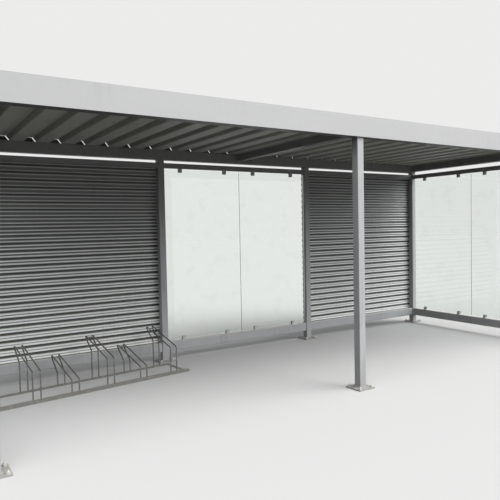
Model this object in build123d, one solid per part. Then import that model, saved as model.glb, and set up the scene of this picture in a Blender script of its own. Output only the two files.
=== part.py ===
from build123d import *
import math
import os

# Bike shelter: an open steel frame with a ribbed steel roof, clad and glazed at the back,
# glazed at both ends and open at the front, with a loose rack for six bikes inside.
# X runs along the shelter, Y from the open front to the back, Z up from the ground.
# The origin is on the ground in the middle of the shelter's footprint.

# Frame grid
bay_length = 2200.0
bay_count = 3
row_depth = 2200.0
post_size = 80.0

# Outer corner radius of every square or oblong tube
tube_corner = 6.0

# Foot plates and their bolt holes
plate_size = 200.0
plate_thick = 12.0
bolt_spacing = 150.0
bolt_hole_d = 18.0

# Front beam, a folded channel that is open to the back
front_beam_bottom = 2440.0
front_beam_height = 200.0
front_beam_face = 20.0
front_beam_lip = 85.0
beam_top_lip = 60.0
fold_thick = 4.0
side_overhang = 20.0

# Rear beam and rafters; the drop is how far the rear beam hangs below the front beam
rear_beam_drop = 25.0
rear_beam_height = 120.0
rafter_width = 80.0
end_rafter_height = 120.0
middle_rafter_height = 86.0
roof_fall = 12.0

# Roof sheet
ribs_per_sheet = 5
sheet_count = 5
rib_lead = 110.0
rib_foot = 130.0
rib_crown = 60.0
rib_height = 46.0
roof_sheet_thick = 1.0
roof_seat = 35.0
roof_front_gap = 10.0
roof_rest_leg = 60.0
roof_rest_thick = 5.0

# Wall rails; the top rail's drop is its distance below the front beam
rail_depth = 60.0
bottom_rail_height = 110.0
bottom_rail_bottom = 118.0
top_rail_height = 60.0
top_rail_drop = 58.0

# Steel cladding with level ribs, on the backs of its posts
cladding_bottom = 135.4
cladding_rib_count = 28
cladding_rib_pitch = 78.65
cladding_top_lap = 11.0
cladding_post_lap = 70.0
cladding_depth = 18.0
cladding_thick = 1.0
groove_share = 0.30
flank_share = 0.07
bead_width = 16.0
bead_depth = 8.0

# Glass and its clamps
glass_thick = 10.0
glass_gap_x = 6.0
glass_gap_z = 14.0
clamp_width = 42.0
clamp_thick = 12.0
clamp_grip = 31.0
clamp_inset = 215.0

# Bike rack; a rod's peak is where its two slopes would meet without the bend
holder_count = 6
holder_spacing = 372.0
holder_rod_gap = 74.0
rod_d = 14.0
rod_bend = 30.0
peak_bend = 12.0
rack_leg_spread = 382.0
peak_reach = 562.0
high_front_leg = 293.0
high_peak = 468.0
high_rear_leg = 312.0
low_front_leg = 147.0
low_peak = 309.0
low_rear_leg = 135.0
cross_rod_share = 0.16
rack_rail_depth = 56.0
rack_rail_height = 25.0
rack_rail_back = 9.0
rack_rear_bar = 20.0
rack_rail_end = 135.0
rack_end_bar_width = 30.0
rack_end_bar_height = 8.0

# Where the rack stands: its turn, and its gaps to the left end row and the rear row
rack_turn = 6.7
rack_end_gap = 32.5
rack_wall_gap = 129.0

# Places worked out from the sizes
half_post = post_size / 2
half_length = bay_length * bay_count / 2
front_row = -row_depth / 2
rear_row = row_depth / 2
front_face = front_row - half_post
end_x = half_length + half_post
fascia_x = end_x + side_overhang
fascia_inner = fascia_x - fold_thick
web_face = front_face - front_beam_face
web_inner = web_face + fold_thick
lip_back = front_face + front_beam_lip
top_lip_back = web_face + beam_top_lip
front_beam_top = front_beam_bottom + front_beam_height
rear_beam_bottom = front_beam_bottom - rear_beam_drop
rear_beam_top = rear_beam_bottom + rear_beam_height
rear_beam_front = rear_row - half_post
rear_beam_back = rear_row + half_post
sheet_back = rear_beam_front + roof_seat
lip_top = front_beam_bottom + fold_thick
slope = roof_fall / (rear_beam_front - web_inner)
top_rail_top = front_beam_bottom - top_rail_drop
rail_bottom_of_top = top_rail_top - top_rail_height
rail_top_of_bottom = bottom_rail_bottom + bottom_rail_height
rack_half = (holder_count - 1) / 2 * holder_spacing + holder_rod_gap / 2 + rack_rail_end
rear_bar_front = rack_leg_spread - rack_rear_bar / 2
rack_center_x = rack_half * math.cos(math.radians(rack_turn)) - half_length + rack_end_gap
rack_center_y = rear_row - rack_wall_gap - peak_reach


def span_box(x0, x1, y0, y1, z0, z1):
    """A box given by its lowest and highest corner."""
    size = Box(x1 - x0, y1 - y0, z1 - z0, align=(Align.MIN, Align.MIN, Align.MIN))
    return Pos(x0, y0, z0) * size


def tube(block):
    """Rounds the four long edges of a block, as on a drawn tube."""
    return fillet(block.edges().sort_by(SortBy.LENGTH)[-4:], radius=tube_corner)


def post_with_foot(x, y, top):
    """Square post on its foot plate, with a bolt hole near each corner of the plate."""
    plate = span_box(x - plate_size / 2, x + plate_size / 2,
                     y - plate_size / 2, y + plate_size / 2, 0, plate_thick)
    for sx in (-1, 1):
        for sy in (-1, 1):
            hole = Cylinder(bolt_hole_d / 2, plate_thick * 3)
            plate -= Pos(x + sx * bolt_spacing / 2, y + sy * bolt_spacing / 2, 0) * hole
    post = span_box(x - half_post, x + half_post, y - half_post, y + half_post, plate_thick, top)
    return plate + tube(post)


def extrude_yz(points, x0, x1):
    """A closed outline of (y, z) points, carried from x0 to x1."""
    outline = Polyline(*[(x0, y, z) for y, z in points], close=True)
    return extrude(make_face(outline), amount=x1 - x0, dir=(1, 0, 0))


def front_channel():
    """Deep folded channel between the end fascias: web outside, long lip below, short lip above."""
    under_top = front_beam_top - fold_thick
    outline = [(web_face, front_beam_bottom), (lip_back, front_beam_bottom), (lip_back, lip_top),
               (web_inner, lip_top), (web_inner, under_top), (top_lip_back, under_top),
               (top_lip_back, front_beam_top), (web_face, front_beam_top)]
    return extrude_yz(outline, -fascia_inner, fascia_inner)


def end_rafter(side):
    """Rafter over a glazed end, seated on the front beam's long lip and falling with the roof."""
    rise = (lip_back - web_inner) * slope
    drop = (rear_beam_front - lip_back) * slope
    low, high = lip_top, lip_top + end_rafter_height
    outline = [(web_inner, low + rise), (rear_beam_front, low - drop),
               (rear_beam_front, high - drop), (web_inner, high + rise)]
    middle = side * half_length
    return tube(extrude_yz(outline, middle - rafter_width / 2, middle + rafter_width / 2))


def middle_rafter():
    """Shallower rafter close under the roof sheet, from the front beam's web to the rear beam."""
    front, back = pan_level(web_inner), pan_level(rear_beam_front)
    outline = [(web_inner, front - middle_rafter_height), (rear_beam_front, back - middle_rafter_height),
               (rear_beam_front, back), (web_inner, front)]
    return tube(extrude_yz(outline, -rafter_width / 2, rafter_width / 2))


def side_fascia(side):
    """Folded edge over one end: web outside, closing the front beam, and lips turned in."""
    def strip(x0, x1, y0, z0, z1):
        low, high = sorted((side * x0, side * x1))
        return span_box(low, high, y0, rear_beam_back, z0, z1)

    web = strip(fascia_inner, fascia_x, web_face, front_beam_bottom, front_beam_top)
    lower_lip = strip(end_x, fascia_inner, lip_back, front_beam_bottom, lip_top)
    upper_lip = strip(fascia_x - beam_top_lip, fascia_inner, top_lip_back, front_beam_top - fold_thick,
                      front_beam_top)
    return web + lower_lip + upper_lip


def pan_level(y):
    """Height of the underside of the roof sheet's pans."""
    return rear_beam_top + (rear_beam_back - y) * slope


def sheet_profile(x0, pitch, ribs, z):
    """Outline of one trapezoidal sheet across its ribs, as (x, z) points; a flat leads to each rib."""
    flank = (rib_foot - rib_crown) / 2
    lower = []
    for i in range(ribs):
        start = x0 + i * pitch + rib_lead
        lower += [(start, z), (start + flank, z + rib_height),
                  (start + flank + rib_crown, z + rib_height), (start + rib_foot, z)]
    lower = [(x0, z)] + lower + [(x0 + ribs * pitch, z)]
    upper = [(x, h + roof_sheet_thick) for x, h in reversed(lower)]
    return lower + upper


def roof_sheet(index):
    """One roof sheet between the end rafters, from the front rest to its seat on the rear beam."""
    clear = 2 * (half_length - rafter_width / 2)
    pitch = clear / (sheet_count * ribs_per_sheet)
    x0 = -clear / 2 + index * ribs_per_sheet * pitch
    y0 = web_inner + roof_front_gap
    length = sheet_back - y0
    points = sheet_profile(x0, pitch, ribs_per_sheet, pan_level(y0))
    outline = Polyline(*[(x, y0, z) for x, z in points], close=True)
    run = Vector(0, 1, -slope)
    return extrude(make_face(outline), amount=length * run.length, dir=run)


def roof_rest():
    """Two angles inside the front beam, one each side of the middle rafter, under the sheets."""
    top = pan_level(web_inner)
    y_out = web_inner + roof_rest_leg
    drop = roof_rest_leg * slope
    outline = [(web_inner, top - roof_rest_leg), (web_inner + roof_rest_thick, top - roof_rest_leg),
               (web_inner + roof_rest_thick, top - roof_rest_thick),
               (y_out, top - drop - roof_rest_thick), (y_out, top - drop), (web_inner, top)]
    near, far = rafter_width / 2, half_length - rafter_width / 2
    return Compound(children=[extrude_yz(outline, -far, -near), extrude_yz(outline, near, far)])


def rear_bay(index):
    """Left and right end of a rear bay's clear width, between the posts."""
    left = -half_length + index * bay_length + half_post
    return left, left + bay_length - post_size


def rear_rails(z0, z1):
    """Three like rails between the rear posts."""
    rails = []
    for i in range(bay_count):
        x0, x1 = rear_bay(i)
        rail = span_box(x0, x1, rear_row - rail_depth / 2, rear_row + rail_depth / 2, z0, z1)
        rails.append(tube(rail))
    return Compound(children=rails)


def end_rail(side, z0, z1):
    """Rail between the front and rear post of one end."""
    x = side * half_length
    return tube(span_box(x - rail_depth / 2, x + rail_depth / 2,
                         front_row + half_post, rear_row - half_post, z0, z1))


def cladding(index):
    """Steel sheet with level ribs, each with a V-shaped bead, on the backs of its bay's two posts."""
    x0, x1 = rear_bay(index)
    front = rear_beam_back
    half_groove = cladding_rib_pitch * groove_share / 2
    flank = cladding_rib_pitch * flank_share
    deep = front + cladding_depth
    steps = [(deep, cladding_bottom)]
    for i in range(cladding_rib_count):
        low = cladding_bottom + i * cladding_rib_pitch + half_groove
        high = low + cladding_rib_pitch - 2 * half_groove
        middle = (low + high) / 2
        steps += [(deep, low), (front, low + flank), (front, middle - bead_width / 2),
                  (front + bead_depth, middle), (front, middle + bead_width / 2),
                  (front, high - flank), (deep, high)]
    last = cladding_bottom + cladding_rib_count * cladding_rib_pitch + half_groove
    steps += [(deep, last), (front, last + flank), (front, last + flank + cladding_top_lap)]
    back = [(y + cladding_thick, z) for y, z in reversed(steps)]
    return extrude_yz(steps + back, x0 - cladding_post_lap, x1 + cladding_post_lap)


glass_z0 = rail_top_of_bottom + glass_gap_z
glass_z1 = rail_bottom_of_top - glass_gap_z


def pane_spans(a0, a1):
    """Two equal panes side by side, as their ends along the opening."""
    width = (a1 - a0 - 3 * glass_gap_x) / 2
    return [(a0 + glass_gap_x, a0 + glass_gap_x + width),
            (a1 - glass_gap_x - width, a1 - glass_gap_x)]


def clamp_places(a0, a1):
    """Middles of the clamps along an opening, two for each pane."""
    places = []
    for start, end in pane_spans(a0, a1):
        places += [start + clamp_inset, end - clamp_inset]
    return places


def clamp_block(z_rail, direction):
    """Clamp that stands on its rail and takes the edge of a pane in its slot."""
    height = glass_gap_z + clamp_grip
    depth = glass_thick + 2 * clamp_thick
    block = Box(clamp_width, depth, height)
    slot = Box(clamp_width * 2, glass_thick, clamp_grip)
    block -= Pos(0, 0, direction * glass_gap_z / 2) * slot
    return Pos(0, 0, z_rail + direction * height / 2) * block


def clamp_set(a0, a1, place):
    """All clamps of one glazed opening; place turns a distance along it into a location."""
    blocks = []
    for a in clamp_places(a0, a1):
        blocks.append(place(a) * clamp_block(rail_top_of_bottom, 1))
        blocks.append(place(a) * clamp_block(rail_bottom_of_top, -1))
    return Compound(children=blocks)


def rear_pane(span):
    return span_box(span[0], span[1], rear_row - glass_thick / 2, rear_row + glass_thick / 2,
                    glass_z0, glass_z1)


def end_pane(side, span):
    x = side * half_length
    return span_box(x - glass_thick / 2, x + glass_thick / 2, span[0], span[1], glass_z0, glass_z1)


def rack_place(x, y):
    """Location in the rack's own frame, which stands a little askew in the shelter."""
    return Pos(rack_center_x, rack_center_y, 0) * Rot(0, 0, rack_turn) * Pos(x, y, 0)


def bent_rod(x, front_leg, peak, rear_leg):
    """One rod: up from the front rail, back to its peak, and down to the rear bar."""
    points = [(x, 0, rack_rail_height), (x, 0, front_leg), (x, peak_reach, peak),
              (x, rack_leg_spread, rear_leg), (x, rack_leg_spread, rack_rear_bar)]
    path = FilletPolyline(*points, radius=[rod_bend, peak_bend, rod_bend])
    start = Plane(origin=points[0], z_dir=(0, 0, 1))
    return sweep(start * Circle(rod_d / 2), path=path)


def wheel_holder(index):
    """Two bent rods side by side with a cross rod between them, low and high in turn."""
    x = (index - (holder_count - 1) / 2) * holder_spacing
    front_leg, peak, rear_leg = low_front_leg, low_peak, low_rear_leg
    if index % 2 == 1:
        front_leg, peak, rear_leg = high_front_leg, high_peak, high_rear_leg
    half = holder_rod_gap / 2
    holder = bent_rod(x - half, front_leg, peak, rear_leg) + bent_rod(x + half, front_leg, peak, rear_leg)
    y = peak_reach * (1 - cross_rod_share)
    z = peak - (peak - front_leg) * cross_rod_share
    cross = Pos(x, y, z) * Rot(0, 90, 0) * Cylinder(rod_d / 2, holder_rod_gap)
    return rack_place(0, 0) * (holder + cross)


def rack_rails():
    """Front rail and rear bar that join the wheel holders on the ground."""
    front = span_box(-rack_half, rack_half, rack_rail_back - rack_rail_depth, rack_rail_back,
                     0, rack_rail_height)
    rear = span_box(-rack_half, rack_half, rear_bar_front, rear_bar_front + rack_rear_bar, 0, rack_rear_bar)
    return Compound(children=[rack_place(0, 0) * front, rack_place(0, 0) * rear])


def rack_end_bars():
    """Flat bars that join the front rail and the rear bar at both ends of the rack."""
    left = span_box(-rack_half, rack_end_bar_width - rack_half, rack_rail_back, rear_bar_front,
                    0, rack_end_bar_height)
    right = span_box(rack_half - rack_end_bar_width, rack_half, rack_rail_back, rear_bar_front,
                     0, rack_end_bar_height)
    return Compound(children=[rack_place(0, 0) * left, rack_place(0, 0) * right])


pieces = {}

# Posts
for name, x in (("left", -half_length), ("middle", 0.0), ("right", half_length)):
    pieces["front_post_" + name] = post_with_foot(x, front_row, front_beam_bottom)
for i in range(bay_count + 1):
    pieces[f"rear_post_{i + 1}"] = post_with_foot(-half_length + i * bay_length, rear_row, rear_beam_bottom)

# Beams, rafters and fascias
pieces["front_beam"] = front_channel()
pieces["rear_beam"] = tube(
    span_box(-end_x, end_x, rear_beam_front, rear_beam_back, rear_beam_bottom, rear_beam_top))
pieces["rafter_left"] = end_rafter(-1)
pieces["rafter_middle"] = middle_rafter()
pieces["rafter_right"] = end_rafter(1)
pieces["side_fascia_left"] = side_fascia(-1)
pieces["side_fascia_right"] = side_fascia(1)

# Roof
pieces["roof_rest"] = roof_rest()
for i in range(sheet_count):
    pieces[f"roof_sheet_{i + 1}"] = roof_sheet(i)

# Rear wall
pieces["rear_top_rails"] = rear_rails(rail_bottom_of_top, top_rail_top)
pieces["rear_bottom_rails"] = rear_rails(bottom_rail_bottom, rail_top_of_bottom)
pieces["rear_cladding_left"] = cladding(0)
pieces["rear_cladding_right"] = cladding(bay_count - 1)
rear_glass = rear_bay(1)
rear_spans = pane_spans(*rear_glass)
pieces["rear_pane_left"] = rear_pane(rear_spans[0])
pieces["rear_pane_right"] = rear_pane(rear_spans[1])
pieces["rear_clamps"] = clamp_set(*rear_glass, lambda a: Pos(a, rear_row, 0))

# Glazed ends
end_glass = (front_row + half_post, rear_row - half_post)
end_spans = pane_spans(*end_glass)
for name, side in (("left", -1), ("right", 1)):
    pieces["end_top_rail_" + name] = end_rail(side, rail_bottom_of_top, top_rail_top)
    pieces["end_bottom_rail_" + name] = end_rail(side, bottom_rail_bottom, rail_top_of_bottom)
    pieces[f"end_pane_{name}_front"] = end_pane(side, end_spans[0])
    pieces[f"end_pane_{name}_rear"] = end_pane(side, end_spans[1])
    pieces["end_clamps_" + name] = clamp_set(
        *end_glass, lambda a, s=side: Pos(s * half_length, a, 0) * Rot(0, 0, 90))

# Bike rack
pieces["rack_rails"] = rack_rails()
pieces["rack_end_bars"] = rack_end_bars()
for i in range(holder_count):
    pieces[f"wheel_holder_{i + 1}"] = wheel_holder(i)

os.makedirs("parts", exist_ok=True)
for name, piece in pieces.items():
    export_step(piece, f"parts/{name}.step")
print(len(pieces), "pieces")
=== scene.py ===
import bmesh
import bpy
import math
from mathutils import Matrix, Vector


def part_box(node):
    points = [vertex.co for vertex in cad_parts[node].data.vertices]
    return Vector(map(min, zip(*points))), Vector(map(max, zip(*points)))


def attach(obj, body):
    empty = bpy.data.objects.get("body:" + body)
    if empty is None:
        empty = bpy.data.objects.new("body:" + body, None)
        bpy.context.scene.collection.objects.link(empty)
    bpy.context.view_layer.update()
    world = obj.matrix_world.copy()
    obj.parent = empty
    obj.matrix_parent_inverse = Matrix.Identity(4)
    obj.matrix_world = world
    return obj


# Bike shelter: finishes, welds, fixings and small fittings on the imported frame.
# Everything is in metres. X runs along the shelter, Y from its open front to the back, Z up.

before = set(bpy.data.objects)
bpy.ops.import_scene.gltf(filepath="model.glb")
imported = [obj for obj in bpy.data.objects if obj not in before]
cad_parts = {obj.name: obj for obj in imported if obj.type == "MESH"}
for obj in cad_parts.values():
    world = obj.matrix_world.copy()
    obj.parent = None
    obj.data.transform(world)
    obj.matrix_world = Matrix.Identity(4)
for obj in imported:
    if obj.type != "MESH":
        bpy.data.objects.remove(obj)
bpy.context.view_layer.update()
scene = bpy.context.scene

# Camera of the photograph, for an image of 500 by 500
camera_place = Vector((-3.794, -5.048, 1.599))
camera_yaw = math.radians(32.716)
camera_pitch = math.radians(2.381)
camera_roll = math.radians(-1.126)
camera_lens = 39.82
sensor_width = 36.0
farthest_view = 200.0

# Half the floor's side
floor_reach = 60.0

# Sizes of the steelwork that the frame's boxes don't give
post_side = 0.080
plate_thick = 0.012
tube_corner = 0.006
rail_depth = 0.060

# Glass and its clamps
glass_half = 0.005
clamp_inset = 0.215
clamp_wide = 0.042
clamp_half_depth = 0.017
clamp_reach = 0.031

# Roof sheet
ribs = 25
rib_lead = 0.110
rib_foot = 0.130
rib_crown = 0.060
rib_height = 0.046
sheet_thick = 0.001
sheets = 5

# Wall sheet
wall_ribs = 28
wall_rib_pitch = 0.07865
wall_rib_flat = 0.0243
wall_sheet_thick = 0.001
wall_screw_inset = 0.030
ribs_to_a_screw = 3

# Bike rack, in its own frame
rack_turn = math.radians(6.7)
rack_middle = Vector((-2.173, 0.409, 0.0))
holders = 6
holder_spacing = 0.372
holder_rod_gap = 0.074
rod_radius = 0.007
rack_leg_spread = 0.382
rack_rail_top = 0.025
rack_bar_top = 0.020

# Leg of each weld bead, and the length of one ripple along it
foot_weld = (0.006, 0.0035)
rail_weld = (0.004, 0.003)
rack_weld = (0.0034, 0.004)

# Anchors in the foot plates
bolt_spacing = 0.150
stud_radius = 0.008
stud_proud = 0.009
thread_pitch = 0.002
washer_radius = 0.017
washer_thick = 0.003
nut_half_flat = 0.012
nut_corner = 0.0139
nut_tall = 0.013

# Edges sharper than this stay sharp
sharp_angle = math.radians(35)

# Places worked out from the frame
half_post = post_side / 2
front_posts = ["front_post_left", "front_post_middle", "front_post_right"]
rear_posts = ["rear_post_1", "rear_post_2", "rear_post_3", "rear_post_4"]
posts = front_posts + rear_posts
rear_beam_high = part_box("rear_beam")[1]
roof_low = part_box("roof_sheet_1")[0]
roof_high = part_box("roof_sheet_5")[1]
rib_pitch = (roof_high.x - roof_low.x) / ribs
middle_rafter_low, middle_rafter_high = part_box("rafter_middle")
roof_slope = (middle_rafter_high.z - rear_beam_high.z) / (rear_beam_high.y - middle_rafter_low.y)


def middle_of(node):
    """Middle of a node's box."""
    low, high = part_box(node)
    return (low + high) / 2


def pan_level(y):
    """Underside of the roof sheet's pans at a distance back."""
    return rear_beam_high.z + (rear_beam_high.y - y) * roof_slope


class Wire:
    """An output socket of a finish. Sums written with it add Math nodes."""

    def __init__(self, finish, socket):
        self.finish = finish
        self.socket = socket

    def work(self, operation, first, second):
        """Adds a Math node."""
        return self.finish.node("Math", {"operation": operation}, {0: first, 1: second})

    def __add__(self, other):
        return self.work("ADD", self, other)

    def __radd__(self, other):
        return self.work("ADD", other, self)

    def __sub__(self, other):
        return self.work("SUBTRACT", self, other)

    def __rsub__(self, other):
        return self.work("SUBTRACT", other, self)

    def __mul__(self, other):
        return self.work("MULTIPLY", self, other)

    def __rmul__(self, other):
        return self.work("MULTIPLY", other, self)

    def __abs__(self):
        return self.work("ABSOLUTE", self, 0.0)

    def higher(self, other):
        """The higher of two values."""
        return self.work("MAXIMUM", self, other)


class Nodes:
    """A node tree that is written from empty."""

    def __init__(self, owner):
        owner.use_nodes = True
        self.tree = owner.node_tree
        self.tree.nodes.clear()

    def node(self, kind, settings, inputs, output=0):
        """Adds a node: its settings first, then the values or links of its sockets."""
        node = self.tree.nodes.new("ShaderNode" + kind)
        for name, value in settings.items():
            setattr(node, name, value)
        for name, value in inputs.items():
            if isinstance(value, Wire):
                self.tree.links.new(value.socket, node.inputs[name])
            else:
                node.inputs[name].default_value = value
        return Wire(self, node.outputs[output]) if node.outputs else None

    def rays(self, *kinds):
        """1 or more for rays of any of these kinds."""
        found = [self.node("LightPath", {}, {}, f"Is {kind} Ray") for kind in kinds]
        return sum(found[1:], found[0])

    def seen(self):
        """1 or more where the eye looks straight, in gloss or through glass."""
        return self.rays("Camera", "Glossy", "Transmission")


class Finish(Nodes):
    """The nodes of one material."""

    def __init__(self, name):
        self.material = bpy.data.materials.new(name)
        super().__init__(self.material)
        self.place = self.node("NewGeometry", {}, {}, "Position")
        self.x, self.y, self.z = self.parts(self.place)
        self.nx, self.ny, self.nz = self.parts(self.node("NewGeometry", {}, {}, "Normal"))

    def parts(self, vector):
        """The three parts of a point or a normal."""
        split = self.node("SeparateXYZ", {}, {0: vector}).socket.node
        return [Wire(self, socket) for socket in split.outputs]

    def point(self, stretch=(1.0, 1.0, 1.0)):
        """The point on the surface, with its three parts made longer or shorter."""
        return self.node("VectorMath", {"operation": "MULTIPLY"}, {0: self.place, 1: stretch})

    def cloud(self, size, detail=3.0, stretch=(1.0, 1.0, 1.0)):
        """Soft noise whose patches are about the given size across."""
        return self.node("TexNoise", {}, {"Vector": self.point(stretch), "Scale": 1 / size,
                                          "Detail": detail, "Roughness": 0.55})

    def cells(self, size, output="Distance"):
        """Cells of about the given size, as the distance to their middles or a colour each."""
        return self.node("TexVoronoi", {}, {"Vector": self.point(), "Scale": 1 / size}, output)

    def rise(self, value, low, high):
        """0 below low and 1 above high, with a smooth slope between."""
        return self.node("MapRange", {"interpolation_type": "SMOOTHSTEP"},
                         {0: value, 1: low, 2: high, 3: 0.0, 4: 1.0})

    def blend(self, share, first, second):
        """One colour turning into another."""
        return self.node("Mix", {"data_type": "RGBA"}, {0: share, 6: first, 7: second}, 2)

    def shade(self, colour, amount):
        """A colour made darker or lighter by an amount around 1."""
        return self.node("VectorMath", {"operation": "SCALE"}, {0: colour, "Scale": amount})

    def relief(self, height, depth):
        """Normal of a surface whose height goes from 0 to 1 over a real depth."""
        return self.node("Bump", {}, {"Height": height, "Distance": depth, "Strength": 1.0})

    def close(self, shader):
        """Ends the material in a shader, and gives the material."""
        self.node("OutputMaterial", {}, {"Surface": shader})
        return self.material

    def coat(self, inputs):
        """Ends the material in one shader with these sockets, and gives the material."""
        return self.close(self.node("BsdfPrincipled", {}, inputs))


def paint(red, green, blue):
    """A colour as its sockets take it."""
    return (red, green, blue, 1.0)


# Colours of weather and wear, and of painted shade
soil_dark, soil_light = paint(0.13, 0.12, 0.10), paint(0.24, 0.225, 0.195)
dust_grey = paint(0.40, 0.38, 0.33)
painted_shade_black = paint(0.06, 0.06, 0.06)
worn_grey = paint(0.30, 0.31, 0.31)
chip_grey = paint(0.12, 0.115, 0.11)
tread_grey = paint(0.13, 0.13, 0.128)
moss_green = paint(0.20, 0.21, 0.15)
drip_brown = paint(0.10, 0.095, 0.08)
groove_shade_dark, groove_shade_light = paint(0.030, 0.030, 0.028), paint(0.065, 0.064, 0.060)
scuff_grey = paint(0.30, 0.30, 0.29)
bloom_white = paint(0.46, 0.47, 0.46)
slope_shade_black = paint(0.035, 0.036, 0.034)
rust_brown = paint(0.16, 0.075, 0.035)

# Heights up to which soil splashes, and from which it lies thick
tube_splash = 0.24
wall_splash = 0.22
clamp_splash = 0.20
zinc_splash = 0.16
thick_splash = 0.04

# Heights between which wear, dirt and painted shade come or go
trodden_band = (0.02, 0.06)
rusty_band = (0.03, 0.16)
slope_shade_band = (0.10, 0.16)
low_glass_band = (0.24, 0.62)
under_roof_band = (2.20, 2.36)
groove_shade_fade_band = (1.3, 2.2)
bead_dark_band = (0.4, 0.9)
bead_wide_band = (0.9, 1.75)

# Parts of a normal between which a face starts and ends to look a way
facing_up = (0.55, 0.95)
facing_down = (-0.4, -0.9)
facing_aside = (0.5, 0.9)
facing_front = (0.05, -0.05)

# Noise drawn out along the roof's ribs, and down and along a wall
along_ribs = (1.0, 0.3, 1.0)
along_drips = (1.0, 0.15, 1.0)
down_wall = (1.0, 1.0, 0.035)
along_wall = (0.18, 1.0, 1.0)


def ground_dirt(finish, colour, top):
    """Splashed soil up to a height, broken up, as the colour and the share of it."""
    ragged = finish.cloud(0.09, 5.0) * 0.34 + finish.cloud(0.012, 3.0) * 0.16
    share = 1 - finish.rise(finish.z + ragged * top, thick_splash, top)
    soil = finish.blend(finish.cloud(0.03), soil_dark, soil_light)
    return finish.blend(share * 0.36, colour, soil), share


def dust(finish, colour, amount):
    """Dust that lies on what faces up, as the colour and the share of it."""
    share = finish.rise(finish.nz, *facing_up) * (0.45 + finish.cloud(0.05, 5.0)) * amount
    return finish.blend(share, colour, dust_grey), share


def streaks(finish, colour, amount):
    """Rain streaks down what stands upright."""
    runs = finish.cloud(0.016, 3.0, down_wall)
    patches = finish.cloud(0.35, 2.0)
    share = finish.rise(runs * patches, 0.26, 0.42) * (1 - abs(finish.nz)) * amount
    return finish.blend(share, colour, finish.shade(colour, 0.62))


def tube_paint(name, light, dark, rough, grime, shade_below, shade_inside):
    """Satin paint on steel, worn at the tubes' rounded edges, with painted shade on faces that look down and
    on side faces under the roof.
    """
    finish = Finish(name)
    colour = finish.blend(finish.cloud(0.5, 4.0), dark, light)
    # Painted shade: faces that look down, and side faces high up under the roof, are darkened
    below = finish.rise(finish.nz, *facing_down) * shade_below
    under_roof = finish.rise(finish.z, *under_roof_band)
    inside = under_roof * finish.rise(abs(finish.nx), *facing_aside) * shade_inside
    colour = finish.blend(below.higher(inside), colour, painted_shade_black)
    colour = streaks(finish, colour, 0.4 * grime)
    squarest = abs(finish.nx).higher(abs(finish.ny)).higher(abs(finish.nz))
    edge = 1 - finish.rise(squarest, 0.80, 0.93)
    worn = edge * finish.rise(finish.cloud(0.02, 6.0), 0.52, 0.62)
    colour = finish.blend(worn * 0.7, colour, worn_grey)
    chips = finish.rise(finish.cloud(0.0065, 2.0), 0.71, 0.74)
    colour = finish.blend(chips * 0.8, colour, chip_grey)
    colour, dusty = dust(finish, colour, 0.75 * grime)
    colour, soiled = ground_dirt(finish, colour, tube_splash)
    trodden = finish.rise(finish.nz, 0.5, 0.9) * (1 - finish.rise(finish.z, *trodden_band))
    colour = finish.blend(trodden * (0.48 + finish.cloud(0.04, 4.0) * 0.18), colour, tread_grey)
    grain = finish.cloud(0.0022, 2.0) * 0.55 + finish.cloud(0.030, 2.0) * 0.45
    rough = rough + finish.cloud(0.06, 4.0) * 0.16 + dusty * 0.3 + soiled * 0.3 + worn * 0.1
    return finish.coat({"Base Color": colour, "Roughness": rough, "Specular IOR Level": 0.25,
                        "Normal": finish.relief(grain - worn * 0.4 - chips * 0.6, 0.0003)})


def roof_coat():
    """Coated sheet: grey outside, and a dull olive back coat with painted shade up inside the ribs, darkest
    on their flanks and less towards the right end.
    """
    finish = Finish("roof_sheet_coat")
    top = finish.blend(finish.cloud(0.4, 4.0), paint(0.18, 0.184, 0.184), paint(0.24, 0.245, 0.245))
    moss = finish.rise(finish.cloud(0.12, 6.0), 0.56, 0.70) * finish.rise(finish.nz, 0.7, 0.98)
    top = finish.blend(moss * 0.55, top, moss_green)
    top, dusty = dust(finish, top, 0.3)
    above_pan = finish.z - pan_level(0) + finish.y * roof_slope
    in_rib = finish.rise(above_pan, 0.003, 0.014)
    on_flank = finish.rise(abs(finish.nx), 0.2, 0.4)
    pan = finish.blend(finish.cloud(0.22, 4.0, along_ribs),
                       paint(0.40, 0.405, 0.37), paint(0.56, 0.565, 0.53))
    rib = finish.blend(finish.cloud(0.10, 4.0, along_ribs),
                       paint(0.13, 0.13, 0.11), paint(0.19, 0.19, 0.165))
    # Painted shade inside the ribs, strongest on the flanks and fading towards the right end
    rib_shade_fade = finish.rise(finish.x, -1.2, 2.0)
    under = finish.blend(in_rib * (0.20 + on_flank * 0.50) * (1 - rib_shade_fade * 0.7), pan, rib)
    drips = finish.rise(finish.cloud(0.03, 5.0, along_drips), 0.60, 0.72)
    under = finish.blend(drips * 0.35, under, drip_brown)
    outside = finish.rise(finish.nz, -0.05, 0.05)
    grain = finish.cloud(0.0018, 2.0) * 0.5 + finish.cloud(0.12, 3.0) * 0.5
    rough = 0.46 + finish.cloud(0.08, 4.0) * 0.2 + outside * (0.24 + dusty * 0.1)
    return finish.coat({"Base Color": finish.blend(outside, under, top), "Roughness": rough,
                        "Specular IOR Level": 0.3, "Normal": finish.relief(grain, 0.0006)})


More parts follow.
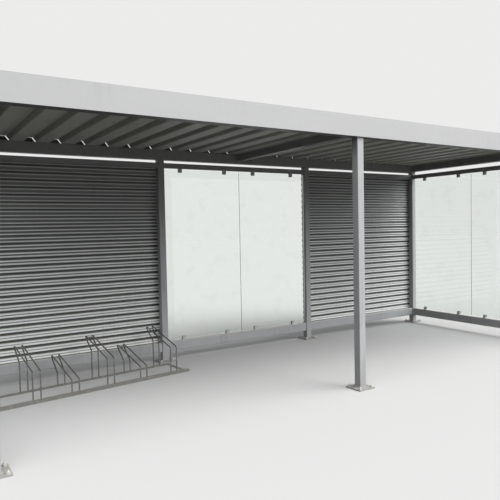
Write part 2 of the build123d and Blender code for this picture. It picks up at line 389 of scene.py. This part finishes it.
def wall_coat():
    """Silver-grey sheet with painted shade in the grooves, lighter higher up, and painted shade along the
    beads, darker and wider higher up.
    """
    finish = Finish("cladding_sheet_coat")
    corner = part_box("rear_cladding_left")[0]
    colour = finish.blend(finish.cloud(0.35, 4.0), paint(0.65, 0.66, 0.67), paint(0.75, 0.76, 0.77))
    colour = streaks(finish, colour, 0.35)
    groove_edge, groove_floor, bead_edge, bead_core, bead_spread = 0.0045, 0.015, 0.0065, 0.0035, 0.007
    front = finish.rise(finish.ny, *facing_front)
    # Painted shade in the grooves, lighter from 1.3 m up
    deep = finish.rise(finish.y, corner.y + groove_edge, corner.y + groove_floor) * front
    groove_shade = deep * (0.97 - finish.rise(finish.z, *groove_shade_fade_band) * 0.36)
    # Painted shade along the beads: darker above 0.4 m, wider from 0.9 m up, and starting higher towards the
    # right end
    lag = finish.rise(finish.x, 0.5, 2.5) * 0.35
    height = finish.z - lag
    ribs_up = (finish.z - corner.z) * (1 / wall_rib_pitch)
    up_rib = finish.node("Math", {"operation": "FRACT"}, {0: ribs_up})
    spread = finish.rise(height, *bead_wide_band) * bead_spread
    from_bead = abs(up_rib - 0.5) * wall_rib_pitch - spread
    on_bead = finish.rise(from_bead, bead_edge, bead_core) * front
    bead_shade = on_bead * (0.60 + finish.rise(height, *bead_dark_band) * 0.32)
    groove = finish.blend(finish.cloud(0.05, 4.0), groove_shade_dark, groove_shade_light)
    colour = finish.blend(groove_shade.higher(bead_shade), colour, groove)
    scuffs = finish.rise(finish.cloud(0.008, 3.0, along_wall), 0.66, 0.74)
    colour = finish.blend(scuffs * 0.45, colour, scuff_grey)
    colour = dust(finish, colour, 0.7)[0]
    colour, soiled = ground_dirt(finish, colour, wall_splash)
    dents = finish.cloud(0.45, 2.0) * 0.9 + finish.cloud(0.002, 2.0) * 0.1
    rough = 0.36 + finish.cloud(0.07, 4.0) * 0.18 + deep * 0.25 + soiled * 0.2
    return finish.coat({"Base Color": colour, "Roughness": rough, "Specular IOR Level": 0.35,
                        "Normal": finish.relief(dents, 0.004)})


def pane_finish():
    """Clear toughened glass with a faint green tint, smudges and dried drops."""
    finish = Finish("pane_glass_clear")
    smudge = finish.rise(finish.cloud(0.16, 5.0), 0.50, 0.72)
    drops = 1 - finish.rise(finish.cells(0.012), 0.10, 0.22)
    low_dirt = 1 - finish.rise(finish.z, *low_glass_band)
    tint = finish.blend(smudge * 0.5 + low_dirt * 0.4, paint(0.91, 0.95, 0.93), paint(0.84, 0.87, 0.84))
    rough = 0.004 + smudge * 0.012 + drops * smudge * 0.05 + low_dirt * 0.012
    glass = finish.node("BsdfPrincipled", {}, {"Base Color": tint, "Roughness": rough,
                                               "Transmission Weight": 1.0, "IOR": 1.45,
                                               "Normal": finish.relief(finish.cloud(0.8, 1.0), 0.0006)})
    clear = finish.node("BsdfTransparent", {}, {"Color": paint(0.865, 0.88, 0.878)})
    lighting = finish.rays("Shadow", "Diffuse")
    return finish.close(finish.node("MixShader", {}, {0: lighting, 1: glass, 2: clear}))


def clamp_finish():
    """Dull cast metal of the glass clamps."""
    finish = Finish("clamp_metal_dull")
    colour = finish.blend(finish.cloud(0.02, 5.0), paint(0.30, 0.305, 0.31), paint(0.42, 0.425, 0.43))
    colour, dusty = dust(finish, colour, 0.6)
    colour, soiled = ground_dirt(finish, colour, clamp_splash)
    rough = 0.42 + finish.cloud(0.015, 3.0) * 0.2 + dusty * 0.2 + soiled * 0.2
    return finish.coat({"Base Color": colour, "Roughness": rough, "Metallic": 0.25,
                        "Normal": finish.relief(finish.cloud(0.0009, 2.0), 0.00025)})


def zinc_finish(name, light, dark, metal, slope_shade):
    """Hot-dip zinc gone dull: spangle, white bloom, painted shade on faces that slope up above the foot,
    dirt and rust low down.
    """
    finish = Finish(name)
    spangle = finish.node("SeparateColor", {}, {0: finish.cells(0.013, "Color")})
    colour = finish.blend(spangle * 0.7 + finish.cloud(0.05, 4.0) * 0.3, dark, light)
    bloom = finish.rise(finish.cloud(0.035, 6.0), 0.54, 0.70)
    colour = finish.blend(bloom * 0.45, colour, bloom_white)
    # Painted shade on faces that slope up, above the lowest 0.1 m
    sloping = finish.rise(finish.nz, 0.15, 0.5) * finish.rise(finish.z, *slope_shade_band) * slope_shade
    colour = finish.blend(sloping, colour, slope_shade_black)
    rust = finish.rise(finish.cloud(0.018, 5.0), 0.60, 0.70) * (1 - finish.rise(finish.z, *rusty_band))
    colour = finish.blend(rust * 0.6, colour, rust_brown)
    colour = dust(finish, colour, 0.4)[0]
    colour, soiled = ground_dirt(finish, colour, zinc_splash)
    grain = finish.cloud(0.0035, 3.0) * 0.6 + spangle * 0.4
    rough = 0.40 + spangle * 0.14 + bloom * 0.2 + soiled * 0.2
    return finish.coat({"Base Color": colour, "Roughness": rough, "Metallic": metal,
                        "Normal": finish.relief(grain, 0.0003)})


def soft_black(name, pit, tone):
    """Black rubber or foam with a fine pitted skin and grey dust."""
    finish = Finish(name)
    dark, light = 0.018 * tone, 0.05 * tone
    colour = finish.blend(finish.cloud(pit * 12, 4.0), paint(dark, dark, dark),
                          paint(light, light, light * 0.96))
    colour = dust(finish, colour, 0.5)[0]
    return finish.coat({"Base Color": colour, "Roughness": 0.72 + finish.cloud(pit * 5) * 0.2,
                        "Normal": finish.relief(finish.cells(pit), pit * 0.4)})


frame_paint = tube_paint("frame_paint_satin", paint(0.345, 0.348, 0.355), paint(0.30, 0.303, 0.31),
                         rough=0.36, grime=1.0, shade_below=0.4, shade_inside=0.36)
fascia_paint = tube_paint("fascia_paint_satin", paint(0.365, 0.365, 0.367), paint(0.34, 0.34, 0.343),
                          rough=0.42, grime=0.3, shade_below=1.0, shade_inside=0.0)
roof_finish = roof_coat()
wall_finish = wall_coat()
glass_finish = pane_finish()
clamp_metal = clamp_finish()
rack_zinc = zinc_finish("galvanised_dull", paint(0.18, 0.185, 0.178), paint(0.105, 0.108, 0.104),
                        metal=0.6, slope_shade=0.8)
bolt_zinc = zinc_finish("bolt_zinc", paint(0.66, 0.67, 0.66), paint(0.48, 0.485, 0.48),
                        metal=0.35, slope_shade=0.0)
rubber = soft_black("rubber_black", pit=0.0011, tone=1.0)
foam = soft_black("closer_foam", pit=0.0024, tone=4.0)

node_finishes = {"frame_paint": frame_paint, "fascia_paint": fascia_paint, "roof_sheet": roof_finish,
                 "cladding_sheet": wall_finish, "pane_glass": glass_finish, "clamp_metal": clamp_metal,
                 "galvanised": rack_zinc}
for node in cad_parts.values():
    for slot in node.material_slots:
        slot.material = node_finishes[slot.material.name.split(".")[0]]


# Shapes

class Skin:
    """Gathers the faces of one piece."""

    def __init__(self):
        self.points = []
        self.faces = []

    def rings(self, rings, place=Matrix(), around=False):
        """Joins rings of points with bands of faces. The ends are closed, or the last meets the first."""
        start = len(self.points)
        count = len(rings[0])
        for ring in rings:
            self.points += [place @ Vector(point) for point in ring]
        pairs = [(i, i + 1) for i in range(len(rings) - 1)]
        if around:
            pairs.append((len(rings) - 1, 0))
        for low, high in pairs:
            a, b = start + low * count, start + high * count
            for i in range(count):
                j = (i + 1) % count
                self.faces.append((a + i, a + j, b + j, b + i))
        if not around:
            last = start + (len(rings) - 1) * count
            self.faces.append(tuple(range(start, start + count)))
            self.faces.append(tuple(range(last, last + count)))

    def turned(self, profile, place, sides=24):
        """A turned shape: (height, radius) pairs, or (height, radius, half flat) where a hexagon cuts it."""
        rings = []
        for height, radius, *flat in profile:
            ring = []
            for i in range(sides):
                angle = math.tau * i / sides
                reach = min(radius, hex_reach(angle, flat[0])) if flat else radius
                ring.append((reach * math.cos(angle), reach * math.sin(angle), height))
            rings.append(ring)
        self.rings(rings, place)

    def piece(self, name, slot, finish, edge=0.0):
        """Makes the object, which rides on the shelter. An edge rounds its corners."""
        mesh = bpy.data.meshes.new(name)
        mesh.from_pydata(self.points, [], self.faces)
        work = bmesh.new()
        work.from_mesh(mesh)
        bmesh.ops.recalc_face_normals(work, faces=work.faces)
        work.to_mesh(mesh)
        work.free()
        for face in mesh.polygons:
            face.use_smooth = True
        mesh.set_sharp_from_angle(angle=sharp_angle)
        mesh.materials.append(finish)
        thing = bpy.data.objects.new(name, mesh)
        scene.collection.objects.link(thing)
        if edge:
            rounding = thing.modifiers.new("edge", "BEVEL")
            rounding.width = edge
            rounding.segments = 2
            rounding.limit_method = "ANGLE"
        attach(thing, "root")


def hex_reach(angle, half_flat):
    """Distance from a hexagon's middle to its side at an angle."""
    turn = (angle + math.pi / 6) % (math.pi / 3) - math.pi / 6
    return half_flat / math.cos(turn)


def stand(point, up=(0, 0, 1), spin=0.0):
    """Place of a fitting that stands on a point with its axis along up. Spin keeps bolt heads unlike."""
    turn = Vector((0, 0, 1)).rotation_difference(Vector(up)).to_matrix().to_4x4()
    return Matrix.Translation(point) @ turn @ Matrix.Rotation(spin, 4, "Z")


# Welds

# Outline of a bead on a leg of 1: out from the tube, then up it
weld_section = [(-0.25, -0.12), (1.0, -0.12), (0.90, 0.34), (0.62, 0.62), (0.34, 0.90), (-0.25, 1.0)]


def bead(skin, path, up, leg, ripple):
    """A closed weld bead: path is its corner line with the way out from the tube, up the way up it."""
    up = Vector(up)
    ripple_deep, waver_deep, waver_rate = 0.10, 0.08, 61.0
    rings = []
    run = 0.0
    last = path[-1][0]
    for point, out in path:
        run += (point - last).length
        last = point
        rippled = ripple_deep * math.cos(math.tau * run / ripple)
        size = leg * (1 + rippled + waver_deep * math.sin(run * waver_rate))
        rings.append([point + out * (a * size) + up * (b * size) for a, b in weld_section])
    skin.rings(rings, around=True)


def round_tube_line(middle, across, along, half_across, half_along):
    """The line where a tube with rounded corners meets a plane, with the way out at each point."""
    across, along = Vector(across), Vector(along)
    step, corner_steps = 0.0011, 6
    corners = [middle + across * (a * (half_across - tube_corner)) + along * (b * (half_along - tube_corner))
               for a, b in ((1, 1), (-1, 1), (-1, -1), (1, -1))]
    line = []
    for quarter, corner in enumerate(corners):
        for k in range(corner_steps + 1):
            angle = math.pi / 2 * (quarter + k / corner_steps)
            out = across * math.cos(angle) + along * math.sin(angle)
            line.append((corner + out * tube_corner, out))
        start = line[-1][0]
        goal = corners[(quarter + 1) % 4] + out * tube_corner
        steps = int((goal - start).length / step)
        for k in range(1, steps):
            line.append((start.lerp(goal, k / steps), out))
    return line


def round_rod_line(middle, across, along, radius, steps=40):
    """The line where a rod meets a plane, with the way out at each point."""
    across, along = Vector(across), Vector(along)
    outs = [across * math.cos(math.tau * k / steps) + along * math.sin(math.tau * k / steps)
            for k in range(steps)]
    return [(middle + out * radius, out) for out in outs]


def foot_welds():
    """Weld round every post on its foot plate."""
    skin = Skin()
    for node in posts:
        middle = middle_of(node)
        foot = Vector((middle.x, middle.y, plate_thick))
        line = round_tube_line(foot, (1, 0, 0), (0, 1, 0), half_post, half_post)
        bead(skin, line, (0, 0, 1), *foot_weld)
    skin.piece("post_foot_welds", "frame_paint", frame_paint)


def rail_welds(name, node, ends, axis):
    """Welds where rails meet the posts. ends are places along the axis, with the way out from each post."""
    low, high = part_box(node)
    middle = (low + high) / 2
    half_tall = (high.z - low.z) / 2
    across = (0, 1, 0) if axis == 0 else (1, 0, 0)
    skin = Skin()
    for place, way in ends:
        point = middle.copy()
        point[axis] = place
        up = Vector((0, 0, 0))
        up[axis] = way
        bead(skin, round_tube_line(point, across, (0, 0, 1), rail_depth / 2, half_tall), up, *rail_weld)
    skin.piece(name, "frame_paint", frame_paint)


def all_rail_welds():
    """Rail welds of the rear wall and of both ends."""
    rear_ends = []
    for i, node in enumerate(rear_posts):
        x = middle_of(node).x
        if i > 0:
            rear_ends.append((x - half_post, -1))
        if i < len(rear_posts) - 1:
            rear_ends.append((x + half_post, 1))
    rail_welds("rear_top_rail_welds", "rear_top_rails", rear_ends, 0)
    rail_welds("rear_bottom_rail_welds", "rear_bottom_rails", rear_ends, 0)
    for side in ("left", "right"):
        for level in ("top", "bottom"):
            node = f"end_{level}_rail_{side}"
            low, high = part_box(node)
            rail_welds(f"end_{level}_rail_welds_{side}", node, [(low.y, 1), (high.y, -1)], 1)


# Anchors

def anchor_bolts():
    """Stud, washer and nut at each hole of the foot plates."""
    washer_top = plate_thick + washer_thick
    nut_top = washer_top + nut_tall
    stud_top = nut_top + stud_proud
    thread_root = stud_radius - 0.0007
    washer_rim, rim_tall = washer_radius - 0.0005, 0.0004
    nut_face, corner_cut = nut_half_flat - 0.0002, 0.0016
    thread = [(0.0005, stud_radius - 0.001)]
    for k in range(1, int(stud_top / thread_pitch)):
        thread += [(k * thread_pitch, thread_root), ((k + 0.5) * thread_pitch, stud_radius)]
    thread += [(stud_top - 0.001, stud_radius - 0.0005), (stud_top, stud_radius - 0.0018)]
    washer = [(plate_thick, washer_rim), (plate_thick + rim_tall, washer_radius),
              (washer_top - rim_tall, washer_radius), (washer_top, washer_rim)]
    nut = [(washer_top, nut_face, nut_half_flat), (washer_top + corner_cut, nut_corner, nut_half_flat),
           (nut_top - corner_cut, nut_corner, nut_half_flat), (nut_top, nut_face, nut_half_flat),
           (nut_top, stud_radius + 0.0004)]
    for node in posts:
        middle = middle_of(node)
        skin = Skin()
        for i, (sx, sy) in enumerate([(-1, -1), (1, -1), (1, 1), (-1, 1)]):
            place = stand((middle.x + sx * bolt_spacing / 2, middle.y + sy * bolt_spacing / 2, 0),
                          spin=0.37 + 1.1 * i + middle.x)
            skin.turned(thread, place)
            skin.turned(washer, place, 32)
            skin.turned(nut, place)
        skin.piece("anchor_bolts_" + node, "galvanised", bolt_zinc)


# Roof

def rib_starts():
    """Left foot of every roof rib."""
    return [roof_low.x + rib_pitch * i + rib_lead for i in range(ribs)]


def roof_screws():
    """Hexagon screws with sealing washers in the roof's pans, over the front rest and the rear beam."""
    head = [(0.0, 0.0075), (0.0012, 0.0085), (0.0020, 0.0085), (0.0024, 0.0050, 0.0042),
            (0.0066, 0.0048, 0.0042), (0.0072, 0.0040, 0.0042)]
    seal = [(-0.0005, 0.0080), (0.0004, 0.0086), (0.0011, 0.0080)]
    front_inset, rear_inset, lift = 0.035, 0.015, 0.0006
    seals, heads = Skin(), Skin()
    for y in (roof_low.y + front_inset, roof_high.y - rear_inset):
        z = pan_level(y) + sheet_thick
        for i, start in enumerate(rib_starts()):
            place = stand((start - rib_lead / 2, y, z + lift), spin=0.9 * i + y)
            seals.turned(seal, place, 20)
            heads.turned(head, place)
    heads.piece("roof_screws", "galvanised", bolt_zinc)
    seals.piece("roof_screw_seals", "roof_sheet", rubber)


def roof_laps():
    """Edge strip of each roof sheet, lapped over its neighbour, with its turned-down edge."""
    half, lift, lip, slope, short = 0.015, 0.0011, 0.0016, 0.004, 0.002
    for k in range(1, sheets):
        x = roof_low.x + rib_pitch * ribs / sheets * k
        outline = [(x - half, 0.0), (x + half, 0.0), (x + half, lip),
                   (x + half - slope, lift), (x - half + slope, lift), (x - half, lift * 0.6)]
        skin = Skin()
        skin.rings([[(px, y, pan_level(y) + sheet_thick + pz) for px, pz in outline]
                    for y in (roof_low.y + short, roof_high.y - short)])
        skin.piece(f"roof_lap_{k}", "roof_sheet", roof_finish)


def rib_closers():
    """Foam closers in the roof's ribs over the rear beam, short of each rib's crown and right flank."""
    thick, crown_gap, flank_gap, seat, setback = 0.005, 0.0025, 0.011, 0.0003, 0.001
    flank = (rib_foot - rib_crown) / 2
    height = rib_height - crown_gap
    lean = flank * height / rib_height
    back = roof_high.y - setback
    skin = Skin()
    for start in rib_starts():
        right = start + rib_foot - flank_gap
        outline = [(start + seat, 0), (right, 0), (right - lean, height), (start + lean + seat, height)]
        skin.rings([[(x, y, rear_beam_high.z + z) for x, z in outline] for y in (back - thick, back)])
    skin.piece("rib_closers", "roof_sheet", foam, edge=0.0008)


# Wall sheets

def wall_screws():
    """Small hexagon screws from behind, through the flats of the wall sheets' ribs into the posts."""
    head = [(-0.0004, 0.0050), (0.0008, 0.0064), (0.0014, 0.0064), (0.0018, 0.0046, 0.0040),
            (0.0050, 0.0046, 0.0040), (0.0056, 0.0038, 0.0040)]
    for side in ("left", "right"):
        low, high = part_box("rear_cladding_" + side)
        skin = Skin()
        for x in (low.x + wall_screw_inset, high.x - wall_screw_inset):
            for k in range(0, wall_ribs, ribs_to_a_screw):
                z = low.z + k * wall_rib_pitch + wall_rib_flat
                skin.turned(head, stand((x, low.y + wall_sheet_thick, z), (0, 1, 0), 0.7 * k), 20)
        skin.piece("wall_screws_" + side, "galvanised", bolt_zinc)


# Glass clamps

def clamps_of(panes):
    """Each clamp on these panes: its middle at the pane's edge, its way up and the axis of its pane."""
    found = []
    for pane in panes:
        low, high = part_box(pane)
        middle = (low + high) / 2
        axis = 0 if high.x - low.x > high.y - low.y else 1
        for place in (low[axis] + clamp_inset, high[axis] - clamp_inset):
            for z, way in ((low.z, 1), (high.z, -1)):
                point = Vector((middle.x, middle.y, z))
                point[axis] = place
                found.append((point, way, axis))
    return found


def clamp_fittings(name, panes):
    """Rubber edge round each clamp on the glass, and the clamp's socket screw, on both sides."""
    half, foot, lip, fit, sunk, proud = clamp_wide / 2, 0.001, 0.0022, 0.0002, 0.0001, 0.0018
    outline = [(-half - lip, foot), (-half - lip, clamp_reach + lip), (half + lip, clamp_reach + lip),
               (half + lip, foot), (half + fit, foot), (half + fit, clamp_reach + fit),
               (-half - fit, clamp_reach + fit), (-half - fit, foot)]
    pad = [[(x, y, z) for x, y in outline] for z in (glass_half - sunk, glass_half + proud)]
    screw = [(-0.0005, 0.0062), (0.0006, 0.0066), (0.0022, 0.0058), (0.0032, 0.0044), (0.0034, 0.0030),
             (0.0034, 0.0027, 0.0022), (0.0012, 0.0026, 0.0022)]
    pads, screws = Skin(), Skin()
    for point, way, axis in clamps_of(panes):
        for side in (-1, 1):
            out = Vector((0, 0, 0))
            out[1 - axis] = side
            up = Vector((0, 0, way))
            turn = Matrix((up.cross(out), up, out)).transposed().to_4x4()
            pads.rings(pad, Matrix.Translation(point) @ turn)
            seat = point + up * (clamp_reach / 2) + out * clamp_half_depth
            screws.turned(screw, Matrix.Translation(seat) @ turn)
    pads.piece(name + "_pads", "clamp_metal", rubber, edge=0.0005)
    screws.piece(name + "_screws", "clamp_metal", bolt_zinc)


# Bike rack

def rack_point(x, y, z):
    """A point of the rack's own frame in the shelter."""
    return rack_middle + Matrix.Rotation(rack_turn, 3, "Z") @ Vector((x, y, z))


def rack_welds():
    """Welds round the rods' feet on the front rail and the rear bar."""
    skin = Skin()
    for i in range(holders):
        for side in (-1, 1):
            x = (i - (holders - 1) / 2) * holder_spacing + side * holder_rod_gap / 2
            for y, z in ((0.0, rack_rail_top), (rack_leg_spread, rack_bar_top)):
                line = round_rod_line(rack_point(x, y, z), (1, 0, 0), (0, 1, 0), rod_radius)
                bead(skin, line, (0, 0, 1), *rack_weld)
    skin.piece("rack_welds", "galvanised", rack_zinc)


foot_welds()
all_rail_welds()
anchor_bolts()
roof_screws()
roof_laps()
rib_closers()
wall_screws()
clamp_fittings("rear_clamp", ["rear_pane_left", "rear_pane_right"])
clamp_fittings("end_clamp_left", ["end_pane_left_front", "end_pane_left_rear"])
clamp_fittings("end_clamp_right", ["end_pane_right_front", "end_pane_right_rear"])
rack_welds()


# Floor, light and camera

def pale_floor():
    """Plain pale floor, which gives back less light than it shows."""
    finish = Finish("pale_floor")
    colour = finish.blend(finish.seen(), paint(0.064, 0.0625, 0.059), paint(0.375, 0.375, 0.371))
    mesh = bpy.data.meshes.new("floor")
    corners = [(-1, -1), (1, -1), (1, 1), (-1, 1)]
    mesh.from_pydata([(x * floor_reach, y * floor_reach, 0) for x, y in corners], [], [(0, 1, 2, 3)])
    mesh.materials.append(finish.close(finish.node("BsdfDiffuse", {}, {"Color": colour})))
    floor = bpy.data.objects.new("floor", mesh)
    scene.collection.objects.link(floor)


def sky():
    """Even light from all round, and a pale backdrop for what is seen straight or in glass and metal."""
    scene.world = bpy.data.worlds.new("studio")
    nodes = Nodes(scene.world)
    dim = nodes.node("Background", {}, {"Color": paint(0.96, 0.98, 1.0), "Strength": 0.40})
    backdrop = nodes.node("Background", {}, {"Color": paint(0.84, 0.84, 0.835), "Strength": 1.0})
    mix = nodes.node("MixShader", {}, {0: nodes.seen(), 1: dim, 2: backdrop})
    nodes.node("OutputWorld", {}, {"Surface": mix})


def soft_light(name, toward, energy, spread):
    """A broad soft light from far away: the way to it, its strength and its width in degrees."""
    lamp = bpy.data.lights.new(name, "SUN")
    lamp.energy = energy
    lamp.angle = math.radians(spread)
    light = bpy.data.objects.new(name, lamp)
    light.rotation_euler = Vector(toward).to_track_quat("Z", "Y").to_euler()
    scene.collection.objects.link(light)


def photo_camera():
    """Camera at the photograph's place, turned as it was held."""
    lens = bpy.data.cameras.new("photo_camera")
    lens.lens = camera_lens
    lens.sensor_width = sensor_width
    lens.clip_end = farthest_view
    forward = Vector((math.sin(camera_yaw) * math.cos(camera_pitch),
                      math.cos(camera_yaw) * math.cos(camera_pitch), -math.sin(camera_pitch)))
    level = Vector((math.cos(camera_yaw), -math.sin(camera_yaw), 0))
    upright = level.cross(forward)
    right = level * math.cos(camera_roll) + upright * math.sin(camera_roll)
    up = upright * math.cos(camera_roll) - level * math.sin(camera_roll)
    camera = bpy.data.objects.new("photo_camera", lens)
    turn = Matrix((right, up, -forward)).transposed().to_4x4()
    camera.matrix_world = Matrix.Translation(camera_place) @ turn
    scene.collection.objects.link(camera)
    scene.camera = camera


pale_floor()
sky()
soft_light("low_light", (0.68, -0.70, 0.58), 3.3, 50)
soft_light("high_light", (0.42, -0.80, 1.70), 3.7, 60)
soft_light("left_light", (-0.70, -0.60, 0.90), 1.3, 60)
photo_camera()
scene.view_settings.view_transform = "Standard"
